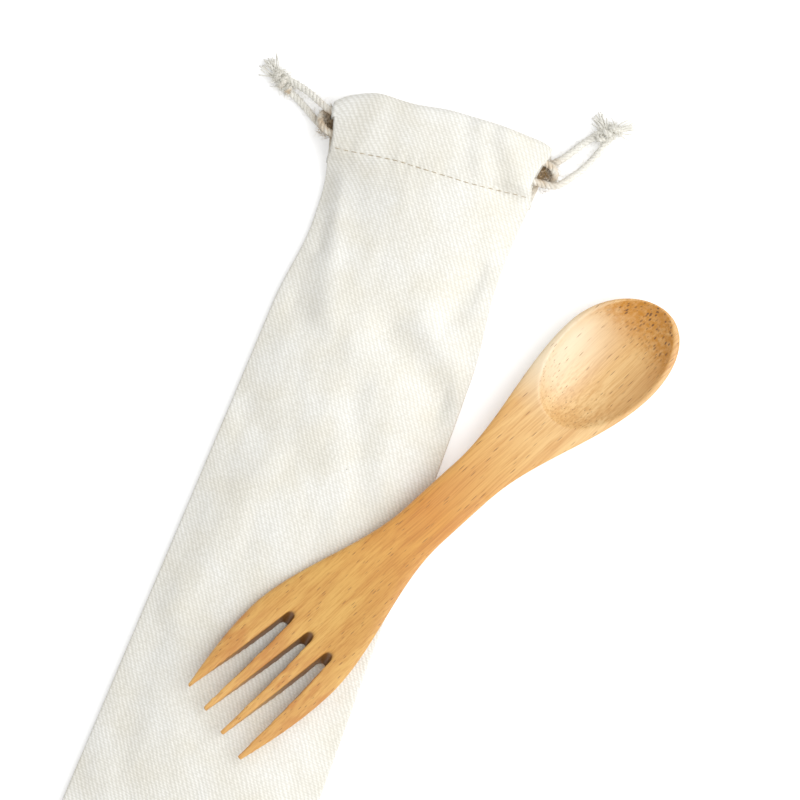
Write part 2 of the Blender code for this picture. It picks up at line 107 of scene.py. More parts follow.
# Utensil, as in the CAD part: lengths run from the fork's tips
UTENSIL_LENGTH = 0.200
FORK_WIDTH = 0.0384
FORK_WIDEST = 0.036
FORK_TIP_WIDTH = 0.0296
FORK_NECK = 0.095
HANDLE_WIDTH = 0.0164
HANDLE_THICKNESS = 0.0056
SPOON_NECK_FROM_END = 0.084
SPOON_WIDTH = 0.0360
SPOON_WIDEST_FROM_END = 0.025
SIDE_BOW = 0.0013
SPOON_LEAN = 0.0022
TINES = 4
SLOT_LENGTH = 0.0465
SLOT_WIDTH = 0.0029
SLOT_PITCH = 0.0090
TINE_TIP_WIDTH = 0.0010
TINE_TIP_THICKNESS = 0.0018
FORK_THICKNESS = 0.0046
FORK_SWEEP = 0.0012
FORK_SLANT = 0.0020
TIP_SHIFT = 0.0005
BOWL_LENGTH = 0.0500
BOWL_WIDTH = 0.0332
BOWL_DEPTH = 0.0065
BOWL_FLOOR = 0.0023
BOWL_FROM_END = 0.0257
BOWL_FLARE = 0.0042
RIM_THICKNESS = 0.0020
HANDLE_ARCH = 0.0014
UTENSIL_X = 0.0404
UTENSIL_BELOW_MOUTH = 0.1244
UTENSIL_HEADING = math.radians(26.1)

# Soft folds of the front panel, measured from the mouth: from, to, half width, height
FOLDS = (
    ((-0.0305, -0.0356), (-0.0180, -0.0756), 0.0048, 0.0014),
    ((-0.0300, -0.0470), (-0.0285, -0.0560), 0.0026, -0.0013),
    ((0.0050, -0.0750), (0.0295, -0.0900), 0.0070, -0.0029),
    ((0.0180, -0.0690), (0.0340, -0.0800), 0.0056, 0.0012),
    ((0.0007, -0.0963), (0.0167, -0.1283), 0.0050, -0.0011),
    ((-0.0340, -0.1160), (-0.0080, -0.1210), 0.0060, -0.0009),
    ((-0.0295, -0.0760), (-0.0135, -0.0850), 0.0060, -0.0009),
    ((-0.0195, -0.1320), (-0.0295, -0.1830), 0.0070, 0.0011),
    ((-0.0330, -0.1930), (-0.0280, -0.2330), 0.0080, -0.0007),
    ((0.0239, -0.0462), (0.0208, -0.0631), 0.0052, -0.0023),
)

CHANNEL = CORD_DIAMETER + 2 * FIT
CASING = CHANNEL + 2 * CLOTH
HEM = 2 * CLOTH + FIT
HEM_END = CASING_DEPTH + HEM_MARGIN
FOLD_RADIUS = CASING / 2
TOP_BODY = 2 * CLOTH + CAVITY
TOP_MOUTH = 2 * CASING + MOUTH_GAP
RIM = BOWL_DEPTH + BOWL_FLOOR
SPOON_WIDEST = UTENSIL_LENGTH - SPOON_WIDEST_FROM_END
SPOON_NECK = UTENSIL_LENGTH - SPOON_NECK_FROM_END
BOWL_AT = UTENSIL_LENGTH - BOWL_FROM_END
UTENSIL_AXIS = math.pi / 2 - UTENSIL_HEADING
UTENSIL_MIDDLE = Vector((UTENSIL_X, POUCH_LENGTH / 2 - UTENSIL_BELOW_MOUTH, 0))

# Finer forms that only the looks have
SEAM_ROLL = CLOTH + FIT / 2
MOUTH_FOLDS = (
    ((0.0024, -0.0018), (0.0066, -0.0135), 0.0030, -0.0005),
    ((0.0079, -0.0018), (0.0126, -0.0135), 0.0030, 0.0006),
    ((0.0100, -0.0060), (0.0248, -0.0220), 0.0035, -0.0008),
    ((0.0160, -0.0015), (0.0305, -0.0175), 0.0036, 0.0010),
    ((-0.0260, -0.0080), (-0.0250, -0.0230), 0.0040, 0.0005),
    ((-0.0130, -0.0030), (-0.0120, -0.0160), 0.0060, 0.0003),
)
# Waves of the mouth's edge: place across from -1 to 1, width and height
MOUTH_WAVES = ((-0.70, 0.20, 0.0021), (-0.28, 0.20, -0.0013))
SEAM_PUCKER = 0.00075
STITCH_PUCKER = 0.0004
STITCH_GROOVE = 0.00022
CRUMPLE = 0.00045
CORNER_FROM = 0.86
LEFT_CORNER_TUCK = 0.0024
RIGHT_CORNER_TUCK = 0.0012
LEFT_GAPE = 0.0010
RIGHT_GAPE = 0.0024
CLOTH_COLUMNS = 84
CLOTH_STEP = 0.0016
SLOT_WALL_LEAN = 0.33
SAW_RUN_OUT = 1.25
SANDED_VOXEL = 0.00039

# Sewing: one stitch and the gap after it, from the photo's dashes
STITCH_LENGTH = 0.0021
STITCH_GAP = 0.0006
THREAD = 0.00028
STITCH_BELOW = CASING_DEPTH + 0.0009
STITCH_RISE_LEFT = 0.0042
STITCH_RISE_RIGHT = 0.0024
STITCH_REACH = 0.955

# Twill: from rib to rib, and along a rib from float to float
RIB_PITCH = 0.00127
FLOAT_LENGTH = 0.00080

# Cord: three plies laid together, wound at the knot, frayed at the tails and fluffy all along
PLY_LAY = 0.0048
PLY_STEP = 0.0004
PLY_SHARE = 0.51
KNOT_TURNS = 2.6
KNOT_SQUEEZE = 0.94
TAIL_YARNS = 15
YARN = 0.00042
STRAND_FIBRES = 1100
CASING_FIBRES = 800
FIBRE = 0.00011
# Reach of the tan tint round its spots: a tan tint on the cords and fibres, painted shade on the cloth
CORD_TINT_REACH = 0.0055
CLOTH_SHADE_REACH = 0.0058
FIBRE_TINT_REACH = 0.0060

# The photo: its middle, the width that it shows and how far it is turned from the frame
VIEW_MIDDLE = Vector((0.0152, 0.0368, 0.006))
VIEW_WIDTH = 0.2594
VIEW_TURN = math.radians(21.5)
VIEW_DISTANCE = 1.6

# Lamps: the way to each as the photo shows it, distance, size and power
LAMPS = (
    ("window_right", (1.0, 0.10, 1.4), 1.2, 1.1, 7.3),
    ("window_low_right", (1.0, -0.55, 0.62), 1.2, 0.8, 3.8),
)
ROOM_LIGHT = 0.655
FLOOR_LIFT = 0.33


def ramp(value, start, end):
    """Smooth step from 0 at start to 1 at end, whichever is larger."""
    share = min(max((value - start) / (end - start), 0.0), 1.0)
    return share * share * (3 - 2 * share)


def photo_direction(right, up, out):
    """A direction given as the photo shows it: to its right, to its top and out of it."""
    cos, sin = math.cos(VIEW_TURN), math.sin(VIEW_TURN)
    return Vector((right * cos - up * sin, right * sin + up * cos, out))


# Materials

def linear(code):
    """An sRGB hex colour as the linear RGBA that a node takes."""
    parts = [int(code[i:i + 2], 16) / 255 for i in (1, 3, 5)]
    return (*[p / 12.92 if p <= 0.04045 else ((p + 0.055) / 1.055) ** 2.4 for p in parts], 1.0)


def add_node(tree, kind, inputs=(), output=0, stops=(), **settings):
    """Adds a node with its settings and links, and returns one of its outputs, or all with None.
    Inputs come in the node's own order or by name: a value, a hex colour or the output that feeds
    it. Stops fill a colour ramp, each a position and a hex colour."""
    made = tree.nodes.new("ShaderNode" + kind)
    for name, value in settings.items():
        setattr(made, name, value)
    for socket, value in inputs.items() if isinstance(inputs, dict) else enumerate(inputs):
        if isinstance(value, bpy.types.NodeSocket):
            tree.links.new(value, made.inputs[socket])
        else:
            made.inputs[socket].default_value = linear(value) if isinstance(value, str) else value
    if stops:
        elements = made.color_ramp.elements
        while len(elements) < len(stops):
            elements.new(0.5)
        for element, (position, code) in zip(elements, stops):
            element.position = position
            element.color = linear(code)
    return made.outputs if output is None else made.outputs[output]


def new_material(name):
    made = bpy.data.materials.new(name)
    made.use_nodes = True
    return made, made.node_tree, made.node_tree.nodes["Principled BSDF"]


def cell(*size):
    """The scale at which a pattern's cells take this size in metres."""
    return tuple(1 / s for s in size)


def inside(tree, *limits):
    """How far a place lies inside all the limits. Each is a value, where it starts to count and where
    it counts in full, and where need be what it counts at these two."""
    share = None
    for limit in limits:
        step = add_node(tree, "MapRange", limit)
        share = step if share is None else add_node(tree, "Math", [share, step], operation="MULTIPLY")
    return share


def finished(made, tree, shader, colour, layers, relief, strength, distance, values):
    """Gives a material its colour with layers over it, its relief and its plain values, and returns
    it. Each layer is a blend, a share and a colour."""
    for blend, share, over in layers:
        colour = add_node(tree, "Mix", {0: share, 6: colour, 7: over}, 2, data_type="RGBA", blend_type=blend)
    tree.links.new(colour, shader.inputs["Base Color"])
    for name, value in values.items():
        shader.inputs[name].default_value = value
    bump = add_node(tree, "Bump", {"Height": relief, "Strength": strength, "Distance": distance})
    tree.links.new(bump, shader.inputs["Normal"])
    return made


def bamboo_places(tree):
    """Places from the utensil's middle: along it, across it and up. Then the same as one vector, and
    as its fibres lie."""
    along = add_node(tree, "Mapping", {
        "Vector": add_node(tree, "TexCoord", output="Object"),
        "Rotation": (0, 0, -UTENSIL_AXIS),
        "Location": -(Matrix.Rotation(-UTENSIL_AXIS, 3, "Z") @ UTENSIL_MIDDLE)})
    run, across, up = add_node(tree, "SeparateXYZ", [along], None)
    # The fibres sway a little, and rise slowly towards the fork, whose face cuts them at a slant
    waver = add_node(tree, "TexNoise", {"Vector": along, "Scale": 28.0, "Detail": 1.0})
    sway = add_node(tree, "Math", [waver, 0.0022, across], operation="MULTIPLY_ADD")
    rise = add_node(tree, "MapRange", [run, -0.01, -0.10, 0.0, 0.010])
    height = add_node(tree, "Math", [up, rise], operation="ADD")
    return run, across, up, along, add_node(tree, "CombineXYZ", [run, sway, height])


def slot_painted_shade(tree, run, across, up, normal):
    """How much painted shade a place gets: the walls of the slots, from just under the fork's face, most
    towards the slots' roots.
    """
    face = add_node(tree, "MapRange", [run, -0.053, -0.100, 0.0117, 0.0138])
    depth = add_node(tree, "Math", [face, up], operation="SUBTRACT")
    off_middle = add_node(tree, "Math", [across], operation="ABSOLUTE")
    facing_up = add_node(tree, "SeparateXYZ", [normal], "Z")
    return inside(tree, [off_middle, 0.0125, 0.0135, 1.0, 0.0], [run, -0.055, -0.052, 1.0, 0.0],
                  [depth, 0.0003, 0.0009], [facing_up, -0.6, -0.3], [run, -0.098, -0.072, 0.2, 0.95])


def carved_bamboo():
    """Bamboo, carved along its fibres, sanded fine and lightly oiled: a warm straw brown with a satin
    sheen. Dark fibre bundles run along it, so a face cut along them shows streaks, and one cut
    across them, as at the bowl's ends, shows dots."""
    made, tree, shader = new_material("bamboo_sanded")
    run, across, up, along, grain = bamboo_places(tree)
    normal = add_node(tree, "NewGeometry", output="Normal")

    # Dark bundles 0.2 mm thick and some 3 mm long, fainter ones of about 10 mm, and their cut ends
    spots = []
    for lie, size in ((grain, (0.0100, 0.00078, 0.00078)), (grain, (0.045, 0.0012, 0.0012)),
                      (along, (0.0034, 0.00105, 0.00095))):
        spread = add_node(tree, "Mapping", {"Vector": lie, "Scale": cell(*size)})
        spots.append(add_node(tree, "TexVoronoi", {"Vector": spread, "Scale": 1.0}))
    dashes, streaks, dots = spots
    # Fibre lines about 0.5 mm apart, bands of tone some 4 mm wide, and patches 2 mm wide
    tones = []
    for size, detail, roughness in (((0.026, 0.0005, 0.0008), 3.0, 0.65), ((0.060, 0.0042, 0.005), 2.0, 0.5),
                                    ((0.012, 0.0022, 0.003), 2.0, 0.5)):
        spread = add_node(tree, "Mapping", {"Vector": grain, "Scale": cell(*size)})
        tones.append(add_node(tree, "TexNoise", {
            "Vector": spread, "Scale": 1.0, "Detail": detail, "Roughness": roughness}))
    lines, bands, patches = tones

    # Warmest along the handle, palest at the spoon: the paleness towards the spoon is a painted sheen
    body = add_node(tree, "ValToRGB", [inside(tree, [run, -0.10, 0.10])], stops=(
        (0.0, "#DEAD60"), (0.30, "#DBAB57"), (0.50, "#DA9A40"), (0.64, "#E4B469"), (0.80, "#EAC58A"),
        (1.0, "#DFB06C")))
    band_tone = add_node(tree, "ValToRGB", [bands], stops=((0.36, "#F2E6D4"), (0.60, "#FFFFFF")))
    line_tone = add_node(tree, "ValToRGB", [lines], stops=((0.34, "#EAD9BF"), (0.56, "#FFFFFF")))

    # Scorched orange along the middle of the tines
    scorched = inside(tree, [run, -0.086, -0.076], [run, -0.056, -0.067], [patches, 0.42, 0.60, 0.0, 0.75])
    # Painted sheen: the hollow's near left wall is painted pale where the lamps' light glances off it
    painted_sheen = inside(tree, [run, 0.044, 0.058], [run, 0.094, 0.074], [across, -0.002, 0.013, 0.0, 0.85])
    # End grain at the bowl's far wall, where it cuts the fibres squarely: brown, rough and dotted
    squarely = add_node(tree, "VectorMath", [normal, (math.cos(UTENSIL_AXIS), math.sin(UTENSIL_AXIS), 0)],
                        "Value", operation="DOT_PRODUCT")
    far_wall = ([squarely, -0.08, -0.30], [run, 0.077, 0.087])
    specks = add_node(tree, "TexNoise", {"Vector": along, "Scale": 620.0, "Detail": 4.0, "Roughness": 0.7})
    many = add_node(tree, "TexNoise", {"Vector": along, "Scale": 240.0, "Detail": 1.0})
    brown = inside(tree, *far_wall, [specks, 0.36, 0.60, 0.25, 1.0])
    cut_ends = [dots, 0.18, 0.36, 1.0, 0.0]
    tip_dots = inside(tree, cut_ends, *far_wall, [many, 0.38, 0.54, 0.3, 0.95])
    near_dots = inside(tree, cut_ends, [squarely, 0.05, 0.35], [run, 0.035, 0.044, 0.0, 0.30])

    layers = (("MULTIPLY", 1.0, band_tone), ("MULTIPLY", 1.0, line_tone), ("MIX", scorched, "#BE7A30"),
              # Painted sheen on the hollow's near left wall
              ("MIX", painted_sheen, "#E8D6B6"), ("MIX", brown, "#BE7D0E"),
              ("MIX", tip_dots, "#694010"), ("MIX", near_dots, "#A8702C"),
              ("MIX", inside(tree, [streaks, 0.06, 0.12, 0.45, 0.0]), "#A86C2C"),
              ("MIX", inside(tree, [dashes, 0.10, 0.18, 0.80, 0.0]), "#84501F"),
              # Painted shade on the slots' walls, darkest towards their roots
              ("MIX", slot_painted_shade(tree, run, across, up, normal), "#6A431B"))
    dash = inside(tree, [dashes, 0.10, 0.18, 1.0, 0.0])
    relief = add_node(tree, "Math", [dash, -0.7, lines], operation="MULTIPLY_ADD")
    relief = add_node(tree, "Math", [tip_dots, -1.2, relief], operation="MULTIPLY_ADD")
    return finished(made, tree, shader, body, layers, relief, 0.35, 0.00014, {
        "Roughness": 0.40, "Specular IOR Level": 0.5, "Coat Weight": 0.5, "Coat Roughness": 0.34})


def undyed_twill():
    """Cotton twill, undyed and washed: slanting ribs 1.27 mm apart, each a row of short floats,
    matt and soft, with the odd dark seed fleck left in the yarn."""
    made, tree, shader = new_material("cotton_twill_undyed")
    cloth_at = add_node(tree, "UVMap", uv_map="cloth")
    # The ribs run from upper left to lower right, 34 degrees off the pouch's length. A wave at scale 1
    # has its bands 0.3142 m apart
    turned, bands = [], []
    for turn, pitch, distortion, detail_scale, direction in (
            (-34, RIB_PITCH, 2.4, 0.7, "X"), (4, FLOAT_LENGTH, 2.6, 0.8, "Y")):
        turned.append(add_node(tree, "Mapping", {
            "Vector": cloth_at, "Rotation": (0, 0, math.radians(turn))}))
        bands.append(add_node(tree, "TexWave", {
            "Vector": turned[-1], "Scale": 0.3142 / pitch, "Distortion": distortion, "Detail": 2.0,
            "Detail Scale": detail_scale, "Detail Roughness": 0.6}, "Fac", bands_direction=direction))
    ribs, floats = bands
    # Each float is a little thicker or thinner than the next
    slub = add_node(tree, "TexNoise", {"Vector": turned[0], "Scale": 900.0, "Detail": 3.0, "Roughness": 0.7})
    weave = inside(tree, [ribs, 0.0, 1.0, 0.30, 1.0], [floats, 0.0, 1.0, 0.50, 1.0],
                   [slub, 0.38, 0.58, 0.45, 1.0])
    # The grooves between ribs and floats are painted darker: painted shade of the weave's relief
    woven = add_node(tree, "ValToRGB", [weave], stops=((0.05, "#E0DED5"), (0.66, "#F7F6F1")))
    mottle = add_node(tree, "TexNoise", {"Vector": cloth_at, "Scale": 60.0, "Detail": 2.0})
    mottled = add_node(tree, "ValToRGB", [mottle], stops=((0.35, "#FAF8F3"), (0.65, "#FFFFFF")))

    # Seed flecks about 0.4 mm across, one in roughly every 15 mm
    seeds = add_node(tree, "TexVoronoi", {"Vector": cloth_at, "Scale": 1 / 0.009}, None)
    which = add_node(tree, "SeparateColor", {"Color": seeds["Color"]}, "Red")
    chosen = add_node(tree, "Math", [which, 0.68], operation="GREATER_THAN")
    flecks = inside(tree, [seeds["Distance"], 0.016, 0.034, 0.7, 0.0], [chosen, 0.0, 1.0])
    # Painted shade, in tan, inside the ends of the casing, where the cords run
    shade_and_tan = add_node(tree, "Attribute", output="Fac", attribute_name="shade_and_tan")
    layers = (("MULTIPLY", 1.0, mottled), ("MIX", flecks, "#7B7058"),
              ("MIX", inside(tree, [shade_and_tan, 0.0, 1.0, 0.0, 0.9]), "#B08C56"))
    relief = add_node(tree, "Math", [slub, 0.8, weave], operation="MULTIPLY_ADD")
    return finished(made, tree, shader, woven, layers, relief, 0.55, 0.00018, {
        "Roughness": 0.92, "Specular IOR Level": 0.2, "Sheen Weight": 0.25, "Sheen Roughness": 0.5})


def laid_cotton():
    """Cotton cord, undyed, three plies laid together: off-white and matt with loose surface fibre,
    and tinted tan where it runs out of the casing."""
    made, tree, shader = new_material("cotton_cord_laid")
    at = add_node(tree, "TexCoord", output="Object")
    shade_and_tan = add_node(tree, "Attribute", output="Fac", attribute_name="shade_and_tan")
    fibre = add_node(tree, "TexNoise", {"Vector": at, "Scale": 2600.0, "Detail": 3.0, "Roughness": 0.6})
    spots = add_node(tree, "TexNoise", {"Vector": at, "Scale": 330.0, "Detail": 2.0})
    shade = add_node(tree, "ValToRGB", [fibre], stops=((0.36, "#E4E1D6"), (0.60, "#F6F4ED")))
    tan_tint = ("MIX", inside(tree, [shade_and_tan, 0.0, 1.0], [spots, 0.35, 0.60, 0.25, 1.0]), "#BC9A66")
    return finished(made, tree, shader, shade, [tan_tint], fibre, 0.7, 0.00015, {
        "Roughness": 0.9, "Specular IOR Level": 0.2, "Sheen Weight": 0.3, "Sheen Roughness": 0.5})


def sewing_thread():
    """Spun polyester sewing thread, tan: a fine matt line that reads a little darker than the cloth."""
    made, tree, shader = new_material("sewing_thread_tan")
    at = add_node(tree, "TexCoord", output="Object")
    twist = add_node(tree, "TexNoise", {"Vector": at, "Scale": 3200.0, "Detail": 1.0})
    shade = add_node(tree, "ValToRGB", [twist], stops=((0.35, "#A39276"), (0.65, "#BDAE92")))
    return finished(made, tree, shader, shade, [], twist, 0.4, 0.00005, {"Roughness": 0.7})


def seen_directly(tree):
    """1 on a ray from the camera, also by way of a mirror or through a clear thing, and else 0."""
    rays = add_node(tree, "LightPath", output=None)
    seen = rays["Is Camera Ray"]
    for kind in ("Is Glossy Ray", "Is Transmission Ray"):
        seen = add_node(tree, "Math", [seen, rays[kind]], operation="MAXIMUM")
    return seen


def studio_white():
    """Matt white studio board. It shows as white round the object and keeps the object's shadow."""
    made, tree, shader = new_material("studio_board_white")
    tree.nodes.remove(shader)
    lift = add_node(tree, "Math", [seen_directly(tree), FLOOR_LIFT], operation="MULTIPLY")
    board = add_node(tree, "BsdfDiffuse", {"Color": "#F4F4F4"})
    glow = add_node(tree, "Emission", {"Strength": lift})
    both = add_node(tree, "AddShader", [board, glow])
    tree.links.new(both, tree.nodes["Material Output"].inputs["Surface"])
    return made


# Making pieces

def add_piece(name, mesh, finish):
    """A finished piece at the origin, riding on the pack's one body."""
    made = link(name, mesh)
    mesh.materials.clear()
    mesh.materials.append(finish)
    mesh.shade_smooth()
    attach(made, "root")
    return made


def baked(thing):
    """The mesh that an object's modifiers or curve make; the object itself is removed."""
    bpy.context.view_layer.update()
    mesh = bpy.data.meshes.new_from_object(thing.evaluated_get(bpy.context.evaluated_depsgraph_get()))
    bpy.data.objects.remove(thing)
    return mesh


def link(name, data):
    made = bpy.data.objects.new(name, data)
    bpy.context.scene.collection.objects.link(made)
    return made


def mesh_of(bm, name):
    """The mesh that a bmesh holds; the bmesh itself is freed."""
    mesh = bpy.data.meshes.new(name)
    bm.to_mesh(mesh)
    bm.free()
    return mesh


def surface_of(mesh):
    """A mesh's surface, to cast rays at."""
    bm = bmesh.new()
    bm.from_mesh(mesh)
    surface = BVHTree.FromBMesh(bm)
    bm.free()
    return surface


# Pouch outline and surface, as in the CAD part

def half_width(s):
    """Half the pouch's width at s, the distance up from its bottom edge."""
    shoulder = POUCH_LENGTH - SHOULDER_BELOW_MOUTH
    neck = POUCH_LENGTH - NECK_BELOW_MOUTH
    width = BOTTOM_WIDTH + (SHOULDER_WIDTH - BOTTOM_WIDTH) * min(s / shoulder, 1.0)
    width += (NECK_WIDTH - SHOULDER_WIDTH) * ramp(s, shoulder, neck)
    width += (MOUTH_WIDTH - NECK_WIDTH) * ramp(s, neck, POUCH_LENGTH)
    short = max(CORNER_RADIUS - s, 0.0)
    corner = CORNER_RADIUS - math.sqrt(CORNER_RADIUS**2 - short**2)
    return width / 2 - corner


def mouth_wave(u):
    """How far the mouth's edge stands up from its even line."""
    return sum(height * math.exp(-(((u - at) / width) ** 2)) for at, width, height in MOUTH_WAVES)


def place(u, s):
    """Plan position of the cloth at u across (-1 to 1) and s up from the bottom edge."""
    x = u * half_width(s)
    past_neck = s - (POUCH_LENGTH - NECK_BELOW_MOUTH)
    reach = math.hypot(past_neck, LEAN_EASE)
    lean = MOUTH_LEAN * (1 + past_neck / reach) / 2
    shift = MOUTH_LEAN * (past_neck + reach) / 2
    droop = LEFT_DROOP * ramp(-u, 0.2, 1.0) + RIGHT_DROOP * ramp(u, 0.4, 1.0)
    droop *= ramp(POUCH_LENGTH - s, CASING_DEPTH + DROOP_EASE, CASING_DEPTH)
    droop -= mouth_wave(u) * ramp(POUCH_LENGTH - s, 0.014, 0.002)
    below = min(max((POUCH_LENGTH - s) / NECK_BELOW_MOUTH, 0.0), 1.0)
    x += LEFT_TUCK * ramp(-u, 0.0, 1.0) * math.sin(math.pi * below) ** 2
    return x - shift, s - POUCH_LENGTH / 2 + x * lean - droop


def layer(s):
    """Thickness of one panel: single cloth, then the stitched hem, then the cord channel."""
    below = POUCH_LENGTH - s
    hem = (HEM - CLOTH) * ramp(below, HEM_END + HEM_STEP, HEM_END)
    channel = (CASING - HEM) * ramp(below, CASING_DEPTH, CASING_DEPTH - CASING_CLOSE)
    return CLOTH + hem + channel


def edge_height(s):
    """Height of the back panel's underside along the side seams."""
    below = POUCH_LENGTH - s
    return EDGE_LIFT + (EDGE_REST - EDGE_LIFT) * ramp(below, HEM_END + HEM_STEP, CASING_DEPTH / 2)


def back_height(u, s):
    """Underside of the back panel: flat on the table, rising to its seams."""
    side = max(abs(u) - LIFT_STARTS, 0.0) / (1 - LIFT_STARTS)
    end = max(CORNER_RADIUS * 1.5 - s, 0.0) / (CORNER_RADIUS * 1.5)
    return edge_height(s) * (1 - (1 - side**2) * (1 - end**2))


def fold_height(x, y, folds):
    """Lift of soft folds at a place in plan, y measured from the mouth."""
    total = 0.0
    for start, end, width, height in folds:
        a, b, p = Vector(start), Vector(end), Vector((x, y))
        along = (p - a).dot(b - a) / (b - a).length_squared
        near = a + (b - a) * min(max(along, 0.0), 1.0)
        total += height * math.exp(-(((p - near).length / width) ** 2))
    return total


def pucker_height(u, s):
    """Small crumples: along the side seams, under the hem's stitches, and all over."""
    below = POUCH_LENGTH - s
    x, y = u * half_width(s), s
    off_stitches = below - stitch_below(u)
    seam = SEAM_PUCKER * math.exp(-((1 - abs(u)) / 0.10)) * noise.noise(Vector((u * 3, y * 210, 3.0)))
    stitched = STITCH_PUCKER * math.exp(-((off_stitches / 0.0035) ** 2))
    stitched *= noise.noise(Vector((x * 330, 7.0, 0.5)))
    groove = -STITCH_GROOVE * math.exp(-((off_stitches / 0.0008) ** 2))
    crumple = CRUMPLE * noise.fractal(Vector((x * 62, y * 38, 1.5)), 0.8, 2.0, 3)
    return groove + seam + stitched + crumple * ramp(below, CASING_DEPTH, HEM_END + HEM_STEP)


def front_height(u, s):
    """Top of the front panel: arched between its seams, puffed a little more at the mouth."""
    below = POUCH_LENGTH - s
    crown_top = TOP_BODY + (TOP_MOUTH - TOP_BODY) * ramp(
        below, NECK_BELOW_MOUTH + CASING_DEPTH / 2, CASING_DEPTH / 2)
    edge_top = edge_height(s) + 2 * layer(s) + FIT
    close = 1 - max(1 - s / BOTTOM_CLOSE, 0.0) ** 2.5
    arch = (1 - abs(u) ** CROWN_POWER) * close
    x, y = place(u, s)
    folds = fold_height(x, y - POUCH_LENGTH / 2, FOLDS) * min(arch * 3, 1.0)
    folds *= ramp(below, CASING_DEPTH, HEM_END + HEM_STEP)
    gathers = fold_height(x, y - POUCH_LENGTH / 2, MOUTH_FOLDS)
    fine = (gathers + pucker_height(u, s)) * min(arch * 4, 1.0)
    return edge_top + (crown_top - edge_top) * arch + folds + fine


# Panels

def strip_rows():
    """Stations along a panel's cloth: round the bottom seam, up the outer layer, over the mouth's
    fold and down the hem. Each is a height, the turn round the fold and the turn round the seam."""
    quarter = [math.pi / 2 * share for share in (1.0, 0.66, 0.33)]
    rows = [(SEAM_ROLL, 0.0, roll) for roll in quarter]
    top = POUCH_LENGTH - FOLD_RADIUS
    count = round((top - SEAM_ROLL) / CLOTH_STEP)
    rows += [(SEAM_ROLL + (top - SEAM_ROLL) * i / count, 0.0, 0.0) for i in range(count + 1)]
    rows += [(top, math.pi * i / 10, 0.0) for i in range(1, 10)]
    hem = round((HEM_END - FOLD_RADIUS) / CLOTH_STEP)
    return rows + [(top - (HEM_END - FOLD_RADIUS) * i / hem, math.pi, 0.0) for i in range(hem + 1)]


def cloth_columns():
    """Stations across a panel: its place from seam to seam, and the turn round the side seam."""
    quarter = [math.pi / 2 * share for share in (1.0, 0.66, 0.33)]
    inside = [(-1 + 2 * i / CLOTH_COLUMNS, 0.0) for i in range(CLOTH_COLUMNS + 1)]
    return [(-1.0, roll) for roll in quarter] + inside + [(1.0, roll) for roll in reversed(quarter)]


def panel_point(column, row, front):
    """A point of the panel's outward face, and how far along the cloth it lies."""
    (u, side_roll), (s, turn, end_roll) = column, row
    below = POUCH_LENGTH - s
    roll = SEAM_ROLL * ramp(below, CASING_DEPTH - 0.002, CASING_DEPTH + 0.003) if turn == 0 else 0.0
    inner = u * (1 - roll / half_width(s))
    x, y = place(inner, s + FOLD_RADIUS * math.sin(turn) if 0 < turn < math.pi else s)
    x += math.copysign(roll * math.sin(side_roll), u)
    # The fold's corners are tucked, and the front casing's ends are drawn back from the cords
    if below < 0.006:
        corner = max(abs(u) - CORNER_FROM, 0.0) / (1 - CORNER_FROM)
        y -= (LEFT_CORNER_TUCK if u < 0 else RIGHT_CORNER_TUCK) * corner**2
    if front:
        drawn = (LEFT_GAPE if u < 0 else RIGHT_GAPE) * ramp(below, 0.001, 0.012) * ramp(below, 0.021, 0.015)
        x -= math.copysign(drawn * abs(u) ** 16, u)
    y -= SEAM_ROLL * math.sin(end_roll)
    drop = layer(s) * (1 - math.cos(turn)) / 2 + roll * (1 - math.cos(side_roll) * math.cos(end_roll))
    length = s - SEAM_ROLL * end_roll + FOLD_RADIUS * turn
    if turn == math.pi:
        length += (POUCH_LENGTH - FOLD_RADIUS - s) * 2
    cloth_place = (u * (half_width(s) + SEAM_ROLL * side_roll), length)
    if front:
        return Vector((x, y, front_height(u, s) - drop)), cloth_place
    return Vector((x, y, back_height(u, s) + drop)), cloth_place


def panel_mesh(name, front, under=None):
    """A panel's cloth, one skin with its thickness added inwards. What lies on it presses it down."""
    rows, columns = strip_rows(), cloth_columns()
    bm = bmesh.new()
    bmesh.ops.create_grid(bm, x_segments=len(columns) - 1, y_segments=len(rows) - 1, size=1.0)
    cloth_places = {}
    for vert in bm.verts:
        column = columns[round((vert.co.x + 1) / 2 * (len(columns) - 1))]
        row = rows[round((vert.co.y + 1) / 2 * (len(rows) - 1))]
        vert.co, cloth_places[vert] = panel_point(column, row, front)
        if under and row[1] == 0:
            hit = under.ray_cast(Vector((vert.co.x, vert.co.y, -0.001)), Vector((0, 0, 1)))
            if hit[0]:
                vert.co.z = min(vert.co.z, hit[0].z - FIT / 2)
    layer_uv = bm.loops.layers.uv.new("cloth")
    for face in bm.faces:
        for loop in face.loops:
            loop[layer_uv].uv = cloth_places[loop.vert]
    # The seam has no roll beside the casing, so its columns meet there
    bmesh.ops.remove_doubles(bm, verts=bm.verts, dist=0.00005)
    if not front:
        bmesh.ops.reverse_faces(bm, faces=bm.faces)
    made = link(name + "_skin", mesh_of(bm, name))
    wall = made.modifiers.new("cloth thickness", "SOLIDIFY")
    wall.thickness = CLOTH
    wall.offset = -1
    made = baked(made)
    # Nothing sinks into the table
    for vert in made.vertices:
        vert.co.z = max(vert.co.z, 0.0)
    # Only what the casing's open ends show gets the painted shade
    mark_shade_and_tan(made, [casing_end(1), casing_end(-1)], CLOTH_SHADE_REACH)
    if front:
        for vert, value in zip(made.vertices, made.attributes["shade_and_tan"].data):
            value.value *= vert.co.z < casing_end(math.copysign(1, vert.co.x)).z
    return made


def stitch_below(u):
    """The stitch line runs closer to the mouth's edge at both sides."""
    return STITCH_BELOW - STITCH_RISE_LEFT * ramp(-u, 0.15, 1.0) - STITCH_RISE_RIGHT * ramp(u, 0.35, 1.0)


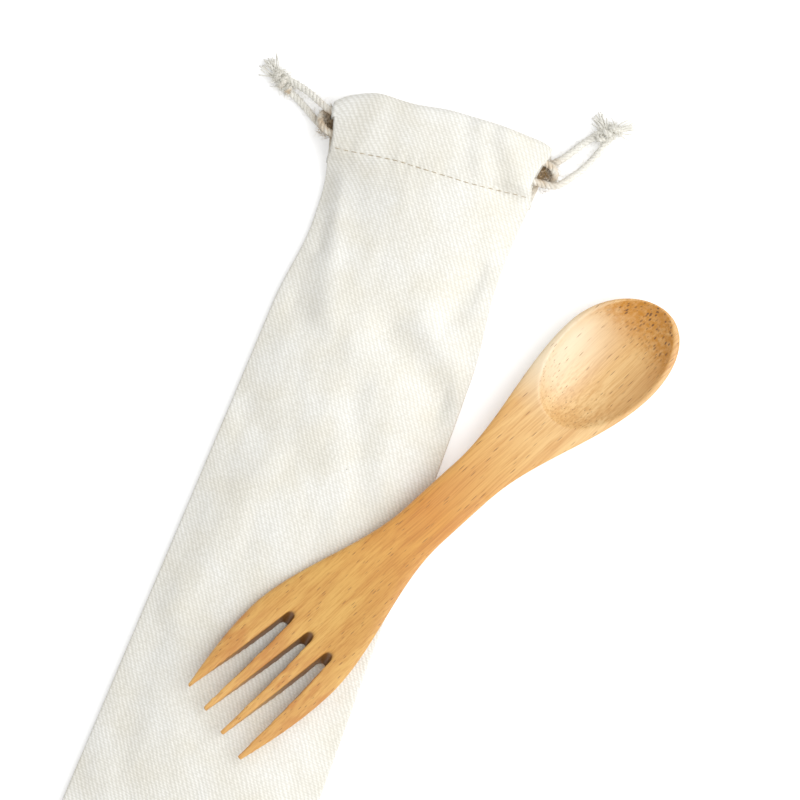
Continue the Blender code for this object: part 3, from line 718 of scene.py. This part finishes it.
def hem_stitches(name, cloth, side, thread):
    """Running stitches through the hem, each a short thread let into one side of the cloth."""
    surface = surface_of(cloth.data)
    bm = bmesh.new()
    half = half_width(POUCH_LENGTH - STITCH_BELOW)
    pitch = STITCH_LENGTH + STITCH_GAP
    for i in range(int(2 * half * STITCH_REACH / pitch)):
        u = (i + 0.5) * pitch / half - STITCH_REACH
        step = STITCH_LENGTH / 2 / half
        ends = []
        for v in (u - step, u + step):
            x, y = place(v, POUCH_LENGTH - stitch_below(v))
            ends.append(surface.ray_cast(Vector((x, y, side * 0.05)), Vector((0, 0, -side)))[0])
        turn = (ends[1] - ends[0]).normalized().to_track_quat("X", "Z").to_matrix().to_4x4()
        sink = THREAD * 0.15 if side > 0 else THREAD * 0.5
        shape = Matrix.Translation((ends[0] + ends[1]) / 2 + Vector((0, 0, sink))) @ turn
        shape @= Matrix.Diagonal((STITCH_LENGTH, THREAD, THREAD, 1.0))
        bmesh.ops.create_uvsphere(bm, u_segments=8, v_segments=8, radius=0.5, matrix=shape)
    return add_piece(name, mesh_of(bm, name), thread)


# Drawcords

def channel_point(u, below, front):
    """Middle of the cord's channel in one panel's hem."""
    s = POUCH_LENGTH - below + CORD_RISE * ramp(-u, 0.4, 1.0)
    x, y = place(u, s)
    if front:
        return Vector((x, y, front_height(u, s) - CASING / 2))
    return Vector((x, y, back_height(u, s) + CASING / 2))


def casing_end(side):
    """Middle of the open end of both casings."""
    return (channel_point(side, CORD_FROM_MOUTH + CORD_SPACING, True)
            + channel_point(side, CORD_FROM_MOUTH, False)) / 2


def from_end(side, offset):
    """A point given across from the casing's end, with its own height over the table."""
    end = casing_end(side)
    return Vector((end.x + offset[0], end.y + offset[1], offset[2]))


def cord_route(side, knot, heading, front_strand, back_strand):
    """Route from the knot through the front channel, round the far side, and back to the knot."""
    low = CORD_FROM_MOUTH + CORD_SPACING
    front_below, back_below = (CORD_FROM_MOUTH, low) if side < 0 else (low, CORD_FROM_MOUTH)
    inside = [side * share for share in (1.0, 0.9, 0.76, 0.5, 0.25, 0.0, -0.25, -0.5, -0.76, -0.9)]
    front = [channel_point(u, front_below, True) for u in inside]
    back = [channel_point(u, back_below, False) for u in inside]
    start = channel_point(-side, front_below, True)
    finish = channel_point(-side, back_below, False)
    middle = (start + finish) / 2 + Vector((side * BEND_SET_IN, 0, 0))
    arm = (start - finish) / 2
    out = Vector((-side * arm.length, 0, 0))
    turns = [math.pi * i / 6 for i in range(7)]
    bend = [middle + arm * math.cos(t) + out * math.sin(t) for t in turns]
    beside = Vector((math.sin(heading), -math.cos(heading), 0)) * (CORD_DIAMETER + FIT) / 2
    route = [knot + beside] + [from_end(side, p) for p in reversed(front_strand)] + front + bend
    return route + list(reversed(back)) + [from_end(side, p) for p in back_strand] + [knot - beside]


def smooth_path(points, step):
    """Evenly spaced points along a smooth curve through the route's points."""
    dense = []
    ends = [points[0] * 2 - points[1]] + points + [points[-1] * 2 - points[-2]]
    for p0, p1, p2, p3 in zip(ends, ends[1:], ends[2:], ends[3:]):
        for i in range(12):
            t = i / 12
            dense.append(0.5 * (2 * p1 + (p2 - p0) * t + (2 * p0 - 5 * p1 + 4 * p2 - p3) * t * t
                                + (3 * p1 - p0 - 3 * p2 + p3) * t**3))
    dense.append(points[-1])
    total = sum((b - a).length for a, b in zip(dense, dense[1:]))
    spacing = total / round(total / step)
    path, walked = [dense[0]], 0.0
    for a, b in zip(dense, dense[1:]):
        length = (b - a).length
        while walked + length >= spacing * len(path) and length > 0:
            path.append(a.lerp(b, (spacing * len(path) - walked) / length))
        walked += length
    if (path[-1] - dense[-1]).length < spacing / 2:
        path.pop()
    return path + [dense[-1]]


def swept(name, lines, thickness):
    """Round yarns along several lines, as one closed mesh."""
    curve = bpy.data.curves.new(name, "CURVE")
    curve.dimensions = "3D"
    curve.bevel_depth = thickness / 2
    curve.bevel_resolution = 1
    curve.use_fill_caps = True
    for line in lines:
        spline = curve.splines.new("POLY")
        spline.points.add(len(line) - 1)
        for point, co in zip(spline.points, line):
            point.co = (*co, 1.0)
    mesh = baked(link(name + "_yarns", curve))
    bm = bmesh.new()
    bm.from_mesh(mesh)
    bmesh.ops.remove_doubles(bm, verts=bm.verts, dist=0.000002)
    bm.to_mesh(mesh)
    bm.free()
    return mesh


def laid_lines(path, diameter):
    """The middles of three plies twisted round a path."""
    ply = diameter * PLY_SHARE
    radius = (diameter - ply) / 2
    lines = [[], [], []]
    across, walked, before = None, 0.0, path[0]
    for i, point in enumerate(path):
        way = (path[min(i + 1, len(path) - 1)] - path[max(i - 1, 0)]).normalized()
        across = way.orthogonal() if across is None else across - way * across.dot(way)
        across.normalize()
        other = way.cross(across)
        walked += (point - before).length
        before = point
        for k in range(3):
            angle = 2 * math.pi * (walked / PLY_LAY + k / 3)
            lines[k].append(point + (across * math.cos(angle) + other * math.sin(angle)) * radius)
    return lines, ply


def mark_shade_and_tan(mesh, spots, reach):
    """Writes how strongly each point is tinted tan, from its distance to the spots, such as the casing's
    ends: painted shade on the cloth, a tan tint on the cords.
    """
    shade_and_tan = mesh.attributes.new("shade_and_tan", "FLOAT", "POINT")
    for vert, value in zip(mesh.vertices, shade_and_tan.data):
        near = min((vert.co - spot).length for spot in spots)
        value.value = math.exp(-((near / reach) ** 2))


def scattered(rng):
    """A random step, mostly about one unit long each way."""
    return Vector((rng.gauss(0, 1), rng.gauss(0, 1), rng.gauss(0, 1)))


def jittered(rng):
    """A random step within one unit each way."""
    return Vector((rng.uniform(-1, 1), rng.uniform(-1, 1), rng.uniform(-1, 1)))


def knot_turns(knot, along, beside):
    """Route of the cord where it winds round both strands in slanting turns."""
    radius = (KNOT_WIDTH - CORD_DIAMETER) / 2
    height = (KNOT_HEIGHT - CORD_DIAMETER) / 2
    points = []
    for i in range(64):
        share = i / 63
        angle = 2 * math.pi * KNOT_TURNS * share + 0.6
        swell = 0.55 + 0.45 * math.sin(math.pi * share)
        reach = (share - 0.5) * (KNOT_LENGTH - CORD_DIAMETER) + 0.0010 * math.cos(angle)
        points.append(knot + along * reach + beside * radius * swell * math.cos(angle)
                      + Vector((0, 0, height * swell * math.sin(angle))))
    return points


def frayed_tails(knot, heading, tails, rng):
    """The cord's two ends, whose plies come apart into loose yarns."""
    yarns = []
    for degrees in tails:
        angle = math.radians(degrees)
        off = angle - heading
        edge = 0.5 / math.hypot(math.cos(off) / KNOT_LENGTH, math.sin(off) / KNOT_WIDTH)
        for _ in range(TAIL_YARNS):
            end_angle = angle + rng.gauss(0, 0.30)
            start = knot + Vector((math.cos(angle), math.sin(angle), 0)) * (edge - 0.0022)
            start += jittered(rng) * 0.0006
            reach = TAIL_LENGTH + 0.0022 + rng.uniform(-0.0012, 0.0010)
            tip = start + Vector((math.cos(end_angle), math.sin(end_angle), 0)) * reach
            tip.z = max(0.0004, rng.uniform(0.0004, 0.0030))
            bend = (start + tip) / 2 + Vector((rng.uniform(-1, 1), rng.uniform(-1, 1), 0)) * 0.0005
            bend.z = (start.z + tip.z) / 2 + 0.0004
            yarns.append(smooth_path([start, bend, tip], 0.0006))
    return yarns


def loose_fibres(strands, end, side, rng):
    """Fibres that stand off the free strands and the knot, and more where the casing rubs the cord."""
    fibres = []
    for _ in range(STRAND_FIBRES):
        at = rng.choice(strands)
        off = scattered(rng).normalized()
        drift = scattered(rng) * 0.0006
        line = [at + off * 0.0011, at + off * 0.0015 + drift * 0.6, at + off * 0.0017 + drift * 1.6]
        if min(p.z for p in line) > 0.0001:
            fibres.append(line)
    for _ in range(CASING_FIBRES):
        out = side * rng.uniform(-0.0010, 0.0030)
        at = end + Vector((out, rng.gauss(0, 0.0021), rng.gauss(-0.0012, 0.0012)))
        drift = Vector((rng.gauss(side * 0.3, 1), rng.gauss(0, 1), rng.gauss(0, 0.6))) * 0.0011
        line = [at, at + drift * 0.6, at + drift + Vector((0, 0, 0.0004))]
        if min(p.z for p in line) > 0.0002:
            fibres.append(line)
    return fibres


def build_drawcord(name, side, free_end, cotton, rng):
    """A laid cord through both channels, with a wound knot and two frayed tails at its free end."""
    heading = math.radians(free_end["heading"])
    along = Vector((math.cos(heading), math.sin(heading), 0))
    beside = Vector((math.sin(heading), -math.cos(heading), 0))
    knot = from_end(side, (*free_end["knot"], KNOT_HEIGHT / 2))
    end = casing_end(side)
    route = cord_route(side, knot, heading, free_end["front strand"], free_end["back strand"])
    path = smooth_path(route, PLY_STEP)
    wound = knot_turns(knot, along, beside)
    tails = frayed_tails(knot, heading, free_end["tails"], rng)
    free = [p for p in path[2:-2] if (p - knot).length < (end - knot).length] + wound[2:-2] * 6
    fibres = loose_fibres(free, end, side, rng)

    both_ends, knot_tint_spot = [casing_end(1), casing_end(-1)], [knot - along * 0.006]
    knotted = laid_lines(smooth_path(wound, PLY_STEP), CORD_DIAMETER * KNOT_SQUEEZE)
    parts = (("laid", laid_lines(path, CORD_DIAMETER), both_ends, CORD_TINT_REACH),
             ("knot", knotted, knot_tint_spot, free_end["shade_and_tan"]),
             ("tails", (tails, YARN), knot_tint_spot, free_end["shade_and_tan"]),
             ("fluff", (fibres, FIBRE), [end], FIBRE_TINT_REACH))
    for part, (lines, thickness), spots, reach in parts:
        mesh = swept(f"{name}_{part}", lines, thickness)
        mark_shade_and_tan(mesh, spots, reach)
        add_piece(f"{name}_{part}", mesh, cotton)

    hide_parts(name)


# Utensil, in its own frame: x from the fork's tips, y to its left, z up from the bowl's underside

def utensil_half_width(t):
    if t < FORK_WIDEST:
        spread = math.sin(math.pi / 2 * t / FORK_WIDEST)
        return (FORK_TIP_WIDTH + (FORK_WIDTH - FORK_TIP_WIDTH) * spread) / 2
    if t > SPOON_WIDEST:
        past = min((t - SPOON_WIDEST) / SPOON_WIDEST_FROM_END, 1.0)
        return SPOON_WIDTH / 2 * math.sqrt(1 - past**2)
    narrow = (FORK_WIDTH - HANDLE_WIDTH) * ramp(t, FORK_WIDEST, FORK_NECK)
    widen = (SPOON_WIDTH - HANDLE_WIDTH) * ramp(t, SPOON_NECK, SPOON_WIDEST)
    return (FORK_WIDTH - narrow + widen) / 2


def utensil_top(t):
    """Height of the upper face along the middle."""
    arch = HANDLE_ARCH * ramp(t, FORK_WIDEST, FORK_NECK) * ramp(t, SPOON_WIDEST, SPOON_NECK)
    sweep = FORK_SWEEP * max(1 - t / SLOT_LENGTH, 0.0) ** 2
    return RIM + arch + sweep


def utensil_depth(t):
    """Thickness along the middle, before the bowl is hollowed."""
    if t > BOWL_AT:
        past = min((t - BOWL_AT) / (UTENSIL_LENGTH - BOWL_AT), 1.0)
        return RIM_THICKNESS + (RIM - RIM_THICKNESS) * math.sqrt(1 - past**2)
    tines = TINE_TIP_THICKNESS + (FORK_THICKNESS - TINE_TIP_THICKNESS) * ramp(t, 0, FORK_WIDEST)
    handle = (HANDLE_THICKNESS - FORK_THICKNESS) * ramp(t, FORK_WIDEST, FORK_NECK)
    bowl = (RIM - HANDLE_THICKNESS) * ramp(t, SPOON_NECK, BOWL_AT)
    return tines + handle + bowl


def utensil_point(t, turn):
    """Section point at angle turn: nearly flat above, rounded below."""
    half, top, depth = utensil_half_width(t), utensil_top(t), utensil_depth(t)
    side = min(RIM_THICKNESS, depth) * 0.6 + (depth * 0.25 if t < SPOON_NECK else 0)
    side = min(side, depth * 0.6)
    across, up = math.cos(turn), math.sin(turn)
    flat = 0.42 if up > 0 else 0.85
    y = half * math.copysign(abs(across) ** flat, across)
    z = side * abs(up) ** flat if up > 0 else -(depth - side) * abs(up) ** 0.8
    slant = FORK_SLANT * (y / half + 1) * max(1 - t / SLOT_LENGTH, 0.0)
    bow = SIDE_BOW * math.sin(math.pi * t / UTENSIL_LENGTH) ** 2
    lean = SPOON_LEAN * max((t - SPOON_WIDEST) / SPOON_WIDEST_FROM_END, 0.0) ** 2
    return Vector((t + slant, y + bow - lean, top - side + z))


def blank_mesh():
    """The utensil before its slots and bowl are cut, as a lofted grid."""
    stations = [SPOON_WIDEST * i / 150 for i in range(151)]
    stations += [SPOON_WIDEST + SPOON_WIDEST_FROM_END * math.sin(math.pi / 2 * i / 26) for i in range(1, 26)]
    ring = 96
    bm = bmesh.new()
    bmesh.ops.create_grid(bm, x_segments=len(stations) - 1, y_segments=ring, size=1.0)
    for vert in bm.verts:
        t = stations[round((vert.co.x + 1) / 2 * (len(stations) - 1))]
        vert.co = utensil_point(t, math.pi * (vert.co.y + 1))
    bmesh.ops.remove_doubles(bm, verts=bm.verts, dist=0.000005)
    bmesh.ops.holes_fill(bm, edges=[e for e in bm.edges if e.is_boundary], sides=0)
    bmesh.ops.recalc_face_normals(bm, faces=bm.faces)
    return mesh_of(bm, "utensil_blank")


def slot_cutter(index):
    """One slot between two tines: round root, opening out to the pointed tips, its walls leaning."""
    centre = (index - (TINES - 2) / 2) * SLOT_PITCH
    tip_pitch = (FORK_TIP_WIDTH - TINE_TIP_WIDTH) / (TINES - 1)
    tip_centre = (index - (TINES - 2) / 2) * tip_pitch + TIP_SHIFT
    tip_half = (tip_pitch - TINE_TIP_WIDTH) / 2
    root = SLOT_LENGTH - SLOT_WIDTH / 2
    beyond = -FORK_SLANT * 4
    points = []
    for share in range(17):
        angle = math.pi / 2 - math.pi * share / 16
        points.append((root + SLOT_WIDTH / 2 * math.cos(angle), centre + SLOT_WIDTH / 2 * math.sin(angle)))
    for sign in (-1, 1):
        reach = (root - beyond) / root
        points.append((beyond, centre + (tip_centre - centre) * reach
                       + sign * (SLOT_WIDTH / 2 + (tip_half - SLOT_WIDTH / 2) * reach)))
    bm = bmesh.new()
    outline = bm.faces.new([bm.verts.new((x, y, RIM * 2)) for x, y in points])
    moved = bmesh.ops.extrude_face_region(bm, geom=[outline])
    lower = [v for v in moved["geom"] if isinstance(v, bmesh.types.BMVert)]
    bmesh.ops.translate(bm, verts=lower, vec=(0, 0, -RIM * 2))
    for vert in bm.verts:
        vert.co.y += SLOT_WALL_LEAN * (vert.co.z - RIM)
        if vert.co.x > SLOT_LENGTH / 2:
            vert.co.x += SAW_RUN_OUT * (vert.co.z - RIM - 0.0006)
    bmesh.ops.recalc_face_normals(bm, faces=bm.faces)
    return link(f"slot_{index}", mesh_of(bm, f"slot_{index}"))


def bowl_cutter():
    """Ellipsoid whose cut through the rim's plane is the bowl's outline."""
    up = BOWL_DEPTH + BOWL_FLARE
    narrow = math.sqrt(1 - (BOWL_FLARE / up) ** 2)
    bm = bmesh.new()
    bmesh.ops.create_uvsphere(bm, u_segments=96, v_segments=64, radius=1.0)
    bmesh.ops.scale(bm, verts=bm.verts, vec=(BOWL_LENGTH / 2 / narrow, BOWL_WIDTH / 2 / narrow, up))
    bmesh.ops.translate(bm, verts=bm.verts, vec=(BOWL_AT, 0, RIM + BOWL_FLARE))
    return link("bowl_hollow", mesh_of(bm, "bowl_hollow"))


def utensil_frame(tilt):
    """From the utensil's own frame to the table, before its height is set."""
    return (Matrix.Translation(UTENSIL_MIDDLE) @ Matrix.Rotation(UTENSIL_AXIS, 4, "Z")
            @ Matrix.Rotation(tilt, 4, "Y") @ Matrix.Translation((-UTENSIL_LENGTH / 2, 0, 0)))


def build_utensil(name, node, bamboo):
    """Cuts the slots and bowl, then rounds every edge as sanding does."""
    blank = link("utensil_blank", blank_mesh())
    tools = [slot_cutter(i) for i in range(TINES - 1)] + [bowl_cutter()]
    for tool in tools:
        cut = blank.modifiers.new(tool.name, "BOOLEAN")
        cut.operation = "DIFFERENCE"
        cut.solver = "EXACT"
        cut.object = tool
    grid = blank.modifiers.new("even grid", "REMESH")
    grid.mode = "VOXEL"
    grid.voxel_size = SANDED_VOXEL
    sanded = blank.modifiers.new("sanded edges", "SMOOTH")
    sanded.factor = 0.5
    sanded.iterations = 12
    mesh = baked(blank)
    for tool in tools:
        bpy.data.objects.remove(tool)
    mesh.transform(settled_frame(node, mesh))
    made = add_piece(name, mesh, bamboo)
    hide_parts(node)
    return made


def settled_frame(node, mesh):
    """Tilt and height that lay the utensil where its CAD node lies, read from the node's box."""
    low, high = (Vector(corner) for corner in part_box(node))
    samples = [v.co for v in list(mesh.vertices)[::7]]
    best = None
    for i in range(-60, 121):
        turned = utensil_frame(math.radians(i * 0.05))
        heights = [(turned @ co).z for co in samples]
        miss = abs((max(heights) - min(heights)) - (high.z - low.z))
        if best is None or miss < best[0]:
            best = (miss, turned, min(heights))
    return Matrix.Translation((0, 0, low.z - best[2])) @ best[1]


# Studio

def build_studio():
    bm = bmesh.new()
    bmesh.ops.create_grid(bm, x_segments=1, y_segments=1, size=3.0)
    bmesh.ops.translate(bm, verts=bm.verts, vec=(0, 0, -0.0001))
    board = link("studio_board", mesh_of(bm, "studio_board"))
    board.data.materials.append(studio_white())

    world = bpy.data.worlds.new("studio")
    world.use_nodes = True
    bpy.context.scene.world = world
    tree = world.node_tree
    backdrop = tree.nodes["Background"]
    backdrop.inputs["Color"].default_value = (1, 1, 1, 1)
    strength = add_node(tree, "MapRange", [seen_directly(tree), 0.0, 1.0, ROOM_LIGHT, 1.0])
    tree.links.new(strength, backdrop.inputs["Strength"])

    for name, way, distance, size, power in LAMPS:
        light = bpy.data.lights.new(name, "AREA")
        light.shape = "DISK"
        light.size = size
        light.energy = power
        lamp = link(name, light)
        direction = photo_direction(*way).normalized()
        lamp.location = VIEW_MIDDLE + direction * distance
        lamp.rotation_euler = direction.to_track_quat("Z", "Y").to_euler()


def build_camera():
    """Straight above the pack, turned as the photo is."""
    data = bpy.data.cameras.new("photo_view")
    data.sensor_width = 36.0
    data.lens = 36.0 * VIEW_DISTANCE / VIEW_WIDTH
    data.clip_start = 0.05
    camera = link("photo_view", data)
    camera.location = VIEW_MIDDLE + Vector((0, 0, VIEW_DISTANCE))
    camera.rotation_euler = (0, 0, VIEW_TURN)
    bpy.context.scene.camera = camera


def main():
    build_camera()
    build_studio()
    bpy.context.scene.view_settings.view_transform = "Standard"
    bamboo, twill, cotton, thread = carved_bamboo(), undyed_twill(), laid_cotton(), sewing_thread()

    rng = random.Random(7)
    build_drawcord("left_drawcord", -1, LEFT_END, cotton, rng)
    build_drawcord("right_drawcord", 1, RIGHT_END, cotton, rng)

    utensil = build_utensil("spork_sanded", "spork", bamboo)
    pressed = panel_mesh("front_panel", True, surface_of(utensil.data))
    front = add_piece("front_panel_cloth", pressed, twill)
    back = add_piece("back_panel_cloth", panel_mesh("back_panel", False), twill)
    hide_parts("front_panel")
    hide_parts("back_panel")
    front_sewing = hem_stitches("front_hem_stitches", front, 1, thread)
    back_sewing = hem_stitches("back_hem_stitches", back, -1, thread)


main()
